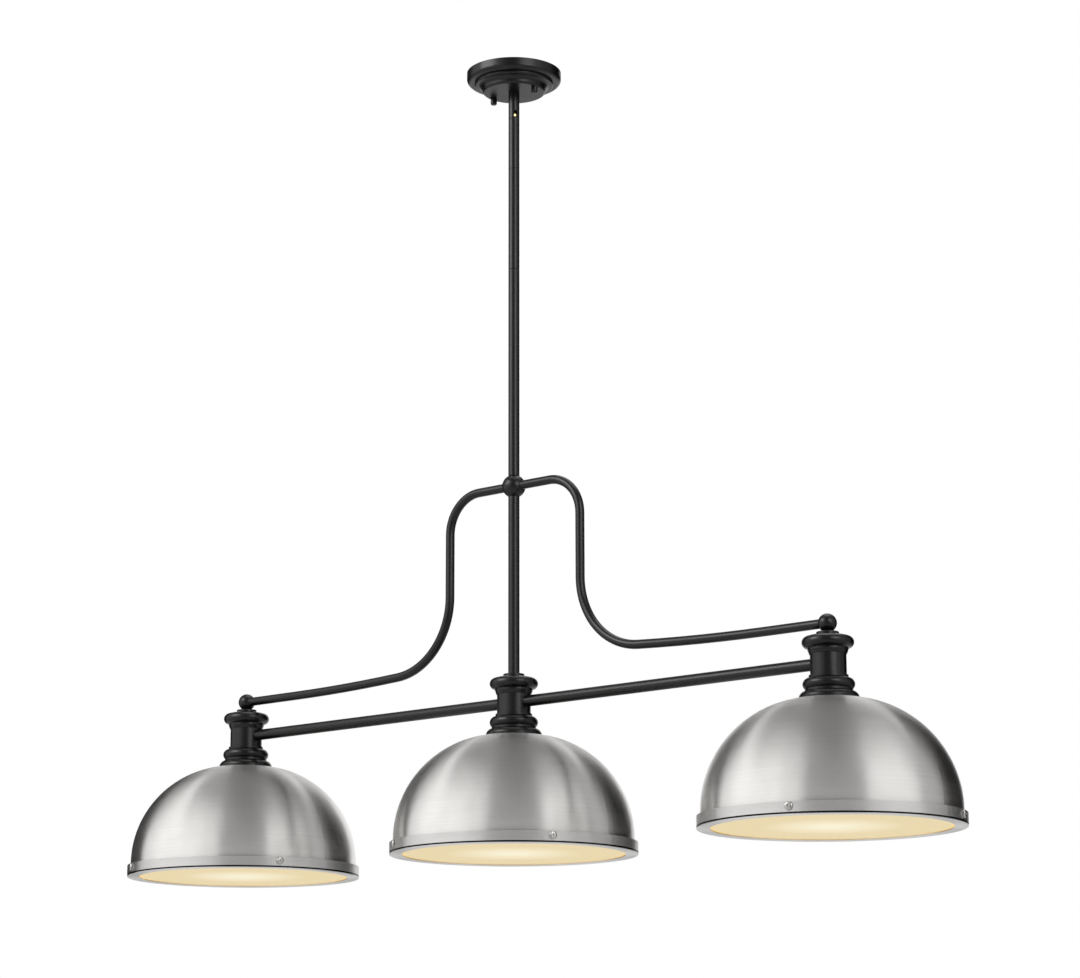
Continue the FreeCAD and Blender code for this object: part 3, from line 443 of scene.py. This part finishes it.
# ---------------------------------------------------------------- forms
def arc(centre: tuple[float, float], radius: float, start: float, end: float,
        steps: int = 12) -> list[tuple[float, float]]:
    """Points on an arc of an outline.

    Args:
        centre: The arc's middle, as (radius, height).
        radius: The arc's own radius.
        start: Where it starts, in degrees from outwards towards up.
        end: Where it ends.
        steps: How many stretches it has.

    Returns:
        The points from start to end.
    """
    turns = [math.radians(start + (end - start) * step / steps) for step in range(steps + 1)]
    return [(centre[0] + radius * math.cos(turn), centre[1] + radius * math.sin(turn))
            for turn in turns]


def add_object(name: str, data: bpy.types.ID) -> bpy.types.Object:
    """Put new data in the scene as an object."""
    thing = bpy.data.objects.new(name, data)
    bpy.context.scene.collection.objects.link(thing)
    return thing


def mesh_of(name: str, form: bmesh.types.BMesh, material: bpy.types.Material) -> bpy.types.Mesh:
    """Turn a bmesh into a mesh of one material, and free the bmesh."""
    mesh = bpy.data.meshes.new(name)
    form.to_mesh(mesh)
    form.free()
    mesh.materials.append(material)
    return mesh


class Form:
    """A mesh that bmesh operators build, in millimetres, and that becomes one piece."""

    sharp_angle = math.radians(32.0)
    weld_distance = 1e-4
    round_steps = 48
    thread_steps = 32
    wave_parts = 6
    recess_taper = 0.6

    def __init__(self, name: str) -> None:
        """Start an empty mesh."""
        self.name = name
        self.mesh = bmesh.new()

    def settle(self, before: set, place: Matrix) -> None:
        """Weld what was added since before, and move it to its place."""
        added = [vert for vert in self.mesh.verts if vert not in before]
        bmesh.ops.remove_doubles(self.mesh, verts=added, dist=self.weld_distance)
        added = [vert for vert in self.mesh.verts if vert not in before]
        bmesh.ops.transform(self.mesh, matrix=place, verts=added)

    def outline(self, points: Outline) -> list:
        """Draw an outline of (radius, height) points, ready to be spun."""
        verts = [self.mesh.verts.new((radius, 0.0, height)) for radius, height in points]
        edges = [self.mesh.edges.new(pair) for pair in zip(verts, verts[1:])]
        return [*verts, *edges]

    def turned(self, points: Outline, place: Matrix) -> None:
        """Turn an outline on a lathe, about its upright axis."""
        before = set(self.mesh.verts)
        bmesh.ops.spin(self.mesh, geom=self.outline(points), cent=(0, 0, 0), axis=(0, 0, 1),
                       angle=math.tau, steps=self.round_steps, use_merge=True)
        self.settle(before, place)

    def threaded(self, radius: float, depth: float, pitch: float, turns: int,
                 place: Matrix) -> None:
        """Wind one wave of a thread upwards round its axis."""
        before = set(self.mesh.verts)
        parts = [part / self.wave_parts for part in range(self.wave_parts + 1)]
        wave = [(radius - depth * (1.0 - math.cos(math.tau * part)) / 2, pitch * part)
                for part in parts]
        bmesh.ops.spin(self.mesh, geom=self.outline(wave), cent=(0, 0, 0), axis=(0, 0, 1),
                       dvec=(0, 0, pitch / self.thread_steps), angle=math.tau * turns,
                       steps=self.thread_steps * turns, use_merge=False)
        self.settle(before, place)

    def cross_recess(self, rim: float, level: float, reach: float, width: float, depth: float,
                     place: Matrix) -> None:
        """Close a round flat top with a cross-shaped recess in it.

        Args:
            rim: The flat top's radius.
            level: Its height.
            reach: Half the cross's length.
            width: The width of its arms.
            depth: How far it goes down.
            place: Where the piece stands.
        """
        mesh = self.mesh
        before = set(mesh.verts)
        top = Matrix.Translation((0.0, 0.0, level))
        circle = bmesh.ops.create_circle(mesh, segments=self.round_steps, radius=rim, matrix=top)
        outer = {edge for vert in circle["verts"] for edge in vert.link_edges}
        grid = bmesh.ops.create_grid(mesh, x_segments=3, y_segments=3, size=reach, matrix=top)
        # The grid's inner lines move to the sides of the cross's arms.
        for vert in grid["verts"]:
            for axis in (0, 1):
                if abs(vert.co[axis]) < reach / 2:
                    vert.co[axis] = math.copysign(width / 2, vert.co[axis])
        faces = {face for vert in grid["verts"] for face in vert.link_faces}
        corners = [face for face in faces
                   if min(abs(face.calc_center_median()[axis]) for axis in (0, 1)) > width / 2]
        bmesh.ops.delete(mesh, geom=corners, context="FACES")
        cross = [face for face in faces if face.is_valid]
        inner = [edge for face in cross for edge in face.edges if edge.is_boundary]
        sunk = bmesh.ops.extrude_face_region(mesh, geom=cross)["geom"]
        floor = [item for item in sunk if isinstance(item, bmesh.types.BMVert)]
        bmesh.ops.delete(mesh, geom=[face for face in cross if face.is_valid],
                         context="FACES_ONLY")
        bmesh.ops.scale(mesh, vec=(self.recess_taper, self.recess_taper, 1.0), verts=floor)
        bmesh.ops.translate(mesh, vec=(0.0, 0.0, -depth), verts=floor)
        rims = [edge for edge in {*outer, *inner} if edge.is_valid]
        bmesh.ops.triangle_fill(mesh, use_beauty=True, edges=rims)
        self.settle(before, place)

    def piece(self, material: bpy.types.Material, body: str, slot: str, *nodes: str) -> None:
        """Finish the mesh and hand it on as an object at the origin.

        Args:
            material: Its finish.
            body: The CAD body that it rides on.
            slot: Not used.
            nodes: The CAD nodes that it stands for.
        """
        bmesh.ops.scale(self.mesh, vec=(MM, MM, MM), verts=self.mesh.verts)
        bmesh.ops.recalc_face_normals(self.mesh, faces=self.mesh.faces)
        data = mesh_of(self.name, self.mesh, material)
        data.shade_smooth()
        data.set_sharp_from_angle(angle=self.sharp_angle)
        thing = add_object(self.name, data)
        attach(thing, body)
        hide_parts(*nodes)
        LOG.info("made %s", self.name)


# ---------------------------------------------------------------- assemblies
def dress(node: str, material: bpy.types.Material) -> None:
    """Give a CAD node its finish in every material slot."""
    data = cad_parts[node].data
    data.materials.clear()
    data.materials.append(material)
    LOG.info("dressed %s with %s", node, material.name)


@dataclass
class Palette:
    """The finishes that are the same all over the lamp."""

    black: bpy.types.Material = field(init=False)
    zinc: bpy.types.Material = field(init=False)
    brass: bpy.types.Material = field(init=False)
    copper: bpy.types.Material = field(init=False)
    green: bpy.types.Material = field(init=False)
    moulded_black: bpy.types.Material = field(init=False)
    moulded_white: bpy.types.Material = field(init=False)
    orange: bpy.types.Material = field(init=False)
    wire: bpy.types.Material = field(init=False)
    nickel: bpy.types.Material = field(init=False)
    screw_plate: bpy.types.Material = field(init=False)
    frosted: bpy.types.Material = field(init=False)

    def __post_init__(self) -> None:
        """Build the shared finishes."""
        self.black = Coated("satin_black_paint", (0.0032, 0.0031, 0.0030), roughness=0.30,
                            specular=0.33, variation=0.15, grain_scale=900.0,
                            relief=0.02).material()
        self.zinc = Coated("zinc_plate", (0.36, 0.37, 0.365), metallic=1.0,
                           roughness=0.42).material()
        self.brass = Coated("bare_brass", (0.72, 0.52, 0.24), metallic=1.0,
                            roughness=0.32).material()
        self.copper = Coated("bare_copper", (0.72, 0.36, 0.2), metallic=1.0,
                             roughness=0.35).material()
        self.green = Coated("green_screw_paint", (0.02, 0.2, 0.05)).material()
        self.moulded_black = Coated("moulded_black", (0.02, 0.02, 0.02),
                                    roughness=0.45).material()
        self.moulded_white = Coated("moulded_white", (0.75, 0.74, 0.7), roughness=0.45).material()
        self.orange = Coated("moulded_orange", (0.75, 0.22, 0.03), roughness=0.35).material()
        self.wire = Coated("wire_cover", (0.02, 0.02, 0.02), roughness=0.5).material()
        self.nickel = Coated("bright_nickel", (0.66, 0.65, 0.63), metallic=1.0, roughness=0.24,
                             variation=0.06).material()
        self.screw_plate = Coated("satin_zinc_screw", (0.42, 0.415, 0.40), metallic=1.0,
                                  roughness=0.26, variation=0.05).material()
        self.frosted = Coated("frosted_bulb", (0.80, 0.78, 0.72), roughness=0.5,
                              variation=0.03).material()


@dataclass
class BlackFrame:
    """Canopy, stem, arms, bars, caps and cups: everything painted black."""

    nodes: tuple[str, ...] = (
        "canopy", "canopy_cap_nuts", "swivel_fork", "swivel_barrel", "stem_short", "stem_long",
        "centre_column", "cross_ball", "arm_left", "arm_right", "end_ball_left",
        "end_ball_right", "bar_left", "bar_right")

    def dress(self, palette: Palette) -> None:
        """Paint the frame."""
        for node in self.nodes:
            dress(node, palette.black)
        for lamp in Lamp:
            dress(f"cap_{lamp.value}", palette.black)
            dress(f"cup_{lamp.value}", palette.black)


@dataclass
class Fastenings:
    """Straps, studs, nuts, nipples and the swivel's brass tongue."""

    plated: tuple[str, ...] = (
        "box_strap", "stud_strap", "strap_eyelet", "strap_studs", "stud_locknuts",
        "canopy_nipple", "nipple_locknut", "pivot_pin", "stem_nipples", "end_ball_studs",
        "holder_nipples", "holder_locknuts", "shade_nuts")

    def dress(self, palette: Palette) -> None:
        """Plate the steel pieces and leave the tongue and contacts in brass."""
        for node in self.plated:
            dress(node, palette.zinc)
        dress("ground_screw", palette.green)
        dress("swivel_tongue", palette.brass)
        dress("socket_contacts", palette.brass)


@dataclass
class Wiring:
    """Leads, connectors and the terminal block, with sizes in millimetres."""

    mouth: float = 4.5
    tip: float = 2.79
    length: float = 18.0
    start: float = 12.0
    offset: float = 1.6
    ribs: int = 18
    rib_gap: float = 0.22
    rib_depth: float = 0.35

    def dress(self, palette: Palette) -> None:
        """Colour the wires and what joins them."""
        for node in ("lamp_leads", "stem_leads", "canopy_leads"):
            dress(node, palette.wire)
        dress("ground_lead", palette.copper)
        dress("terminal_block", palette.moulded_white)
        self.connectors(palette)

    def connectors(self, palette: Palette) -> None:
        """Make the two twist-on connectors, ribbed for the fingers."""
        low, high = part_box("wire_connectors")
        level = (low.z + high.z) / 2 / MM
        form = Form("ribbed_connectors")
        for side in (-1, 1):
            before = set(form.mesh.verts)
            cone = bmesh.ops.create_cone(form.mesh, cap_ends=True, segments=self.ribs,
                                         radius1=self.mouth, radius2=self.tip,
                                         depth=self.length)
            faces = {face for vert in cone["verts"] for face in vert.link_faces}
            sides = [face for face in faces if len(face.verts) == 4]
            bmesh.ops.inset_individual(form.mesh, faces=sides, thickness=self.rib_gap,
                                       depth=-self.rib_depth)
            place = Matrix.Translation((side * (self.start + self.length / 2),
                                        side * self.offset, level))
            form.settle(before, place @ Matrix.Rotation(side * math.pi / 2, 4, "Y"))
        form.piece(palette.orange, "ceiling_set", "connector_plastic", "wire_connectors")


@dataclass
class RingScrews:
    """The pan head screws round one ring, with the small nuts inside it, in millimetres."""

    lamp: Lamp
    count: int = 4
    rise: float = 10.1
    shank: float = 2.0
    head: float = 5.4
    head_height: float = 3.2
    flat: float = 2.7
    wall: float = 1.2
    chamfer: float = 0.3
    recess: tuple[float, float, float] = (2.1, 0.9, 1.3)
    nut: float = 3.5
    nut_height: float = 2.6
    nut_edge: float = 0.25
    depth: float = 8.8

    def first_turn(self) -> float:
        """Where the first screw stands round its shade, in degrees."""
        return {Lamp.LEFT: -26.9, Lamp.CENTRE: -32.2, Lamp.RIGHT: -73.4}[self.lamp]

    def outline(self) -> Outline:
        """The shank and the domed head, up to the flat that takes the recess."""
        dome = arc((0.0, 0.0), 1.0, 0.0, 90.0)
        across = self.head - self.flat
        up = self.head_height - self.wall
        rounded = [(self.flat + x * across, self.wall + z * up) for x, z in dome]
        return [(0.0, -self.depth), (self.shank - self.chamfer, -self.depth),
                (self.shank, -self.depth + self.chamfer), (self.shank, 0.0),
                (self.head - self.chamfer, 0.0), (self.head, self.chamfer), *rounded]

    def make(self, palette: Palette) -> None:
        """Build the screws and nuts of one ring as one piece."""
        side = self.lamp.value
        low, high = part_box(f"ring_{side}")
        seat = (high.x - low.x) / 2 / MM
        form = Form(f"pan_head_screws_{side}")
        centre = Matrix.Translation((self.lamp.axis_x() / MM, 0.0, low.z / MM + self.rise))
        for number in range(self.count):
            turn = math.radians(self.first_turn() + 360.0 / self.count * number)
            place = centre @ Matrix.Rotation(turn, 4, "Z") @ Matrix.Translation((seat, 0.0, 0.0))
            place = place @ Matrix.Rotation(math.pi / 2, 4, "Y")
            form.turned(self.outline(), place)
            form.cross_recess(self.flat, self.head_height, *self.recess, place)
            self.add_nut(form, place)
        form.piece(palette.screw_plate, f"ring_set_{side}", "bright_screw", f"ring_screws_{side}")

    def add_nut(self, form: Form, place: Matrix) -> None:
        """Add a six-sided nut with softened edges on the end of a shank."""
        before = set(form.mesh.verts)
        block = bmesh.ops.create_cone(form.mesh, cap_ends=True, segments=6, radius1=self.nut,
                                      radius2=self.nut, depth=self.nut_height)
        edges = {edge for vert in block["verts"] for edge in vert.link_edges}
        bmesh.ops.bevel(form.mesh, geom=list(edges), offset=self.nut_edge, segments=2,
                        profile=0.5, affect="EDGES", material=-1)
        down = Matrix.Translation((0.0, 0.0, -self.depth + self.nut_height / 2))
        form.settle(before, place @ down)


@dataclass
class Bulb:
    """A frosted globe lamp on a threaded nickel base, in millimetres."""

    lamp: Lamp
    globe: float = 30.0
    shoulder: float = 32.0
    base: float = 13.1
    collar: float = 12.5
    neck: float = 28.0
    neck_parts: tuple[float, ...] = (0.15, 0.3, 0.45, 0.6, 0.75, 0.9, 1.0)
    neck_curve: float = 0.7
    skirt: float = 2.0
    rim: float = 0.5
    lap: float = 0.4
    thread_depth: float = 0.8
    pitch: float = 3.63
    turns: int = 5
    cone_inset: float = 0.7
    cone_drop: float = 2.8
    cone_top: tuple[float, float] = (10.218, -3.2)
    contact: tuple[tuple[float, float], ...] = (
        (5.2, -1.4), (4.4, -1.2), (4.2, -0.2), (0.0, 0.0))

    def make(self, palette: Palette) -> None:
        """Build the globe and the base as two pieces."""
        side = self.lamp.value
        low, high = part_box(f"bulb_{side}")
        place = Matrix.Translation((self.lamp.axis_x() / MM, 0.0, high.z / MM))
        globe = Form(f"frosted_globe_{side}")
        globe.turned(self.globe_outline((low.z - high.z) / MM + self.globe), place)
        globe.piece(palette.frosted, f"bulb_set_{side}", "bulb_plastic", f"bulb_{side}")
        base = Form(f"screw_base_{side}")
        self.shape_base(base, place)
        base.piece(palette.nickel, f"bulb_set_{side}", "zinc_steel", f"bulb_{side}")

    def globe_outline(self, centre: float) -> Outline:
        """The round globe with its middle at a height, then the neck up to the collar."""
        points = arc((0.0, centre), self.globe, -90.0, self.shoulder, steps=28)
        joint_x, joint_z = points[-1]
        neck = [(joint_x + (self.collar - joint_x) * part,
                 joint_z + (-self.neck - joint_z) * part ** self.neck_curve)
                for part in self.neck_parts]
        return [*points, *neck]

    def shape_base(self, form: Form, place: Matrix) -> None:
        """Add the skirt, the thread, and the cone with its contact."""
        foot = -self.neck
        thread_foot = foot + self.skirt
        thread_top = thread_foot + self.pitch * (self.turns + 1)
        form.turned([(self.base - self.rim, foot), (self.base, foot + self.rim),
                     (self.base, thread_foot),
                     (self.base - self.thread_depth, thread_foot + self.lap)], place)
        form.threaded(self.base, self.thread_depth, self.pitch, self.turns,
                      place @ Matrix.Translation((0.0, 0.0, thread_foot - self.lap)))
        form.turned([(self.base - self.cone_inset, thread_top - self.cone_drop), self.cone_top,
                     *self.contact], place)


@dataclass
class ShadeUnit:
    """One shade with its holder, bulb, ring, glass and ring screws."""

    lamp: Lamp
    shade_colour: Colour = (0.84, 0.825, 0.805)
    ring_colour: Colour = (0.74, 0.73, 0.715)
    ring_roughness: float = 0.45
    ring_contrast: float = 0.04
    # The colour of the glass's painted glow in the middle.
    painted_glass_glow: Colour = (0.82, 0.74, 0.52)
    groove_rise: tuple[float, float] = (0.7, 2.9)
    groove_depth: float = 1.0

    def dress(self, palette: Palette) -> None:
        """Dress every piece of the unit."""
        side = self.lamp.value
        axis_x = self.lamp.axis_x()
        low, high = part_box(f"ring_{side}")
        foot, top = (low.z + rise * MM for rise in self.groove_rise)
        groove = Groove(foot, top, (high.x - low.x) / 2 - self.groove_depth * MM)
        shade = SpunMetal(f"spun_silver_{side}", self.shade_colour, axis_x=axis_x)
        ring = SpunMetal(f"satin_ring_{side}", self.ring_colour, axis_x=axis_x,
                         roughness=self.ring_roughness, contrast=self.ring_contrast,
                         groove=groove)
        glass = LitGlass(f"lit_glass_{side}", self.painted_glass_glow, axis_x=axis_x)
        dress(f"shade_{side}", shade.material())
        dress(f"ring_{side}", ring.material())
        dress(f"glass_{side}", glass.material())
        dress(f"lamp_holder_{side}", palette.moulded_black)
        RingScrews(self.lamp).make(palette)
        Bulb(self.lamp).make(palette)


# ---------------------------------------------------------------- studio
@dataclass(frozen=True)
class Card:
    """A tall curved panel that only the shiny surfaces see."""

    name: str
    start: float
    end: float
    tone: float
    distance: float = 6.0
    low: float = -5.0
    high: float = 5.0
    steps: int = 16

    def build(self, bearing: float) -> None:
        """Make the panel.

        Args:
            bearing: The camera's bearing, in degrees, that start and end count from.
        """
        form = bmesh.new()
        foot = form.verts.new((self.distance, 0.0, self.low))
        head = form.verts.new((self.distance, 0.0, self.high))
        edge = form.edges.new((foot, head))
        bmesh.ops.rotate(form, verts=[foot, head], cent=(0, 0, 0),
                         matrix=Matrix.Rotation(math.radians(bearing + self.start), 3, "Z"))
        bmesh.ops.spin(form, geom=[foot, head, edge], cent=(0, 0, 0), axis=(0, 0, 1),
                       angle=math.radians(self.end - self.start), steps=self.steps,
                       use_merge=False)
        stage_card(self.name, form, self.tone)


def stage_card(name: str, form: bmesh.types.BMesh, tone: float) -> None:
    """Stand a bmesh in the studio as a card of an even tone that takes no light."""
    material, canvas, shader = begin(name)
    canvas.feed(shader, {
        "Base Color": BLACK,
        "Specular IOR Level": 0.0,
        "Emission Color": WHITE,
        "Emission Strength": tone})
    card = add_object(name, mesh_of(name, form, material))
    card.visible_camera = False
    card.visible_diffuse = False
    card.visible_shadow = False
    card.visible_transmission = False


def level_square(reach: float, level: float) -> bmesh.types.BMesh:
    """A level square, with half its side and its height in metres."""
    form = bmesh.new()
    bmesh.ops.create_grid(form, x_segments=1, y_segments=1, size=reach)
    bmesh.ops.translate(form, vec=(0.0, 0.0, level), verts=form.verts)
    return form


@dataclass(frozen=True)
class SoftLamp:
    """A large square lamp that points at the object."""

    name: str
    place: tuple[float, float, float]
    size: float
    power: float
    target: tuple[float, float, float] = (0.0, 0.0, -0.9)

    def build(self) -> None:
        """Make the lamp."""
        data = bpy.data.lights.new(self.name, "AREA")
        data.shape = "SQUARE"
        data.size = self.size
        data.energy = self.power
        lamp = add_object(self.name, data)
        lamp.location = self.place
        aim = Vector(self.target) - Vector(self.place)
        lamp.rotation_euler = aim.to_track_quat("-Z", "Y").to_euler()
        self.spare_spun_metal(lamp)

    def spare_spun_metal(self, lamp: bpy.types.Object) -> None:
        """Keep the lamp's hot spot off the spun metal, which mirrors the cards instead."""
        spared = bpy.data.collections.new(f"{self.name}_spares")
        lamp.light_linking.receiver_collection = spared
        for unit in Lamp:
            for node in (f"shade_{unit.value}", f"ring_{unit.value}"):
                spared.objects.link(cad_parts[node])
        for member in spared.collection_objects:
            member.light_linking.link_state = "EXCLUDE"


@dataclass(frozen=True)
class PhotoCamera:
    """The camera at the photograph's angle, solved from the picture, in degrees and metres."""

    place: tuple[float, float, float] = (2.6493, -3.1143, -1.5390)
    tilt: float = 102.643
    heading: float = 39.87
    roll: float = -0.104
    lens: float = 98.67
    sensor: float = 36.0
    reach: float = 50.0

    def build(self) -> None:
        """Make the camera and look through it."""
        data = bpy.data.cameras.new("photo_camera")
        data.sensor_fit = "HORIZONTAL"
        data.sensor_width = self.sensor
        data.lens = self.lens
        data.clip_end = self.reach
        camera = add_object("photo_camera", data)
        camera.location = self.place
        aim = Euler((math.radians(self.tilt), 0.0, math.radians(self.heading))).to_matrix()
        roll = Matrix.Rotation(math.radians(self.roll), 3, "Z")
        camera.rotation_euler = (aim @ roll).to_euler()
        bpy.context.scene.camera = camera


@dataclass
class Studio:
    """White surround, floor, cards for the metal to mirror, soft lamps and the camera."""

    floor_level: float = -2.6
    floor_reach: float = 6.0
    floor_tone: float = 0.8
    floor_roughness: float = 0.9
    ceiling_level: float = 3.0
    ceiling_reach: float = 3.2
    ceiling_tone: float = 0.2
    ambient: float = 0.55
    bearing: float = -50.1
    cards: tuple[Card, ...] = (
        Card("dark_card_left", -164.0, -120.0, 0.03),
        Card("white_card_left", -100.0, -46.0, 1.22),
        Card("grey_card_front", -26.0, 28.0, 0.30),
        Card("white_card_right", 28.0, 74.0, 1.04),
        Card("grey_card_right", 74.0, 104.0, 0.48),
        Card("dark_card_right", 104.0, 152.0, 0.0),
    )
    lamps: tuple[SoftLamp, ...] = (
        SoftLamp("key_lamp", (-1.6, -3.2, 1.4), 2.4, 95.0),
        SoftLamp("fill_lamp", (3.6, -1.2, 0.6), 2.0, 45.0),
        SoftLamp("top_lamp", (0.0, 0.6, 2.6), 3.0, 60.0),
    )

    def build(self) -> None:
        """Set up the whole studio."""
        self.world()
        self.floor()
        for lamp in self.lamps:
            lamp.build()
        for card in self.cards:
            card.build(self.bearing)
        ceiling = level_square(self.ceiling_reach, self.ceiling_level)
        stage_card("ceiling_card", ceiling, self.ceiling_tone)
        PhotoCamera().build()
        bpy.context.scene.view_settings.view_transform = "Standard"

    def world(self) -> None:
        """A white background, and a softer light on the object itself."""
        world = bpy.data.worlds.new("studio_world")
        world.use_nodes = True
        canvas = Canvas(world.node_tree)
        path = canvas.add("ShaderNodeLightPath")
        seen = canvas.math("MAXIMUM", path.outputs["Is Camera Ray"], path.outputs["Is Glossy Ray"])
        seen = canvas.math("MAXIMUM", seen, path.outputs["Is Transmission Ray"])
        strength = canvas.remap(seen, 0.0, 1.0, self.ambient, 1.0)
        background = world.node_tree.nodes["Background"]
        canvas.feed(background, {"Color": WHITE, "Strength": strength})
        bpy.context.scene.world = world

    def floor(self) -> None:
        """A pale floor far below, which lights the undersides and isn't seen itself."""
        material, canvas, shader = begin("pale_floor")
        canvas.feed(shader, {
            "Base Color": shade_of((1.0, 1.0, 1.0), self.floor_tone),
            "Roughness": self.floor_roughness})
        clear = canvas.add("ShaderNodeBsdfTransparent").outputs[0]
        back = canvas.add("ShaderNodeNewGeometry").outputs["Backfacing"]
        one_sided = {0: back, 1: shader.outputs[0], 2: clear}
        surface = canvas.add("ShaderNodeMixShader", one_sided).outputs[0]
        canvas.feed(material.node_tree.nodes["Material Output"], {"Surface": surface})
        form = level_square(self.floor_reach, self.floor_level)
        floor = add_object("floor", mesh_of("floor", form, material))
        floor.visible_camera = False


def main() -> None:
    """Dress the pendant and set up its studio."""
    logging.basicConfig(level=logging.INFO, format="%(message)s")
    palette = Palette()
    BlackFrame().dress(palette)
    Fastenings().dress(palette)
    Wiring().dress(palette)
    for lamp in Lamp:
        ShadeUnit(lamp).dress(palette)
    Studio().build()


if __name__ == "__main__":
    main()
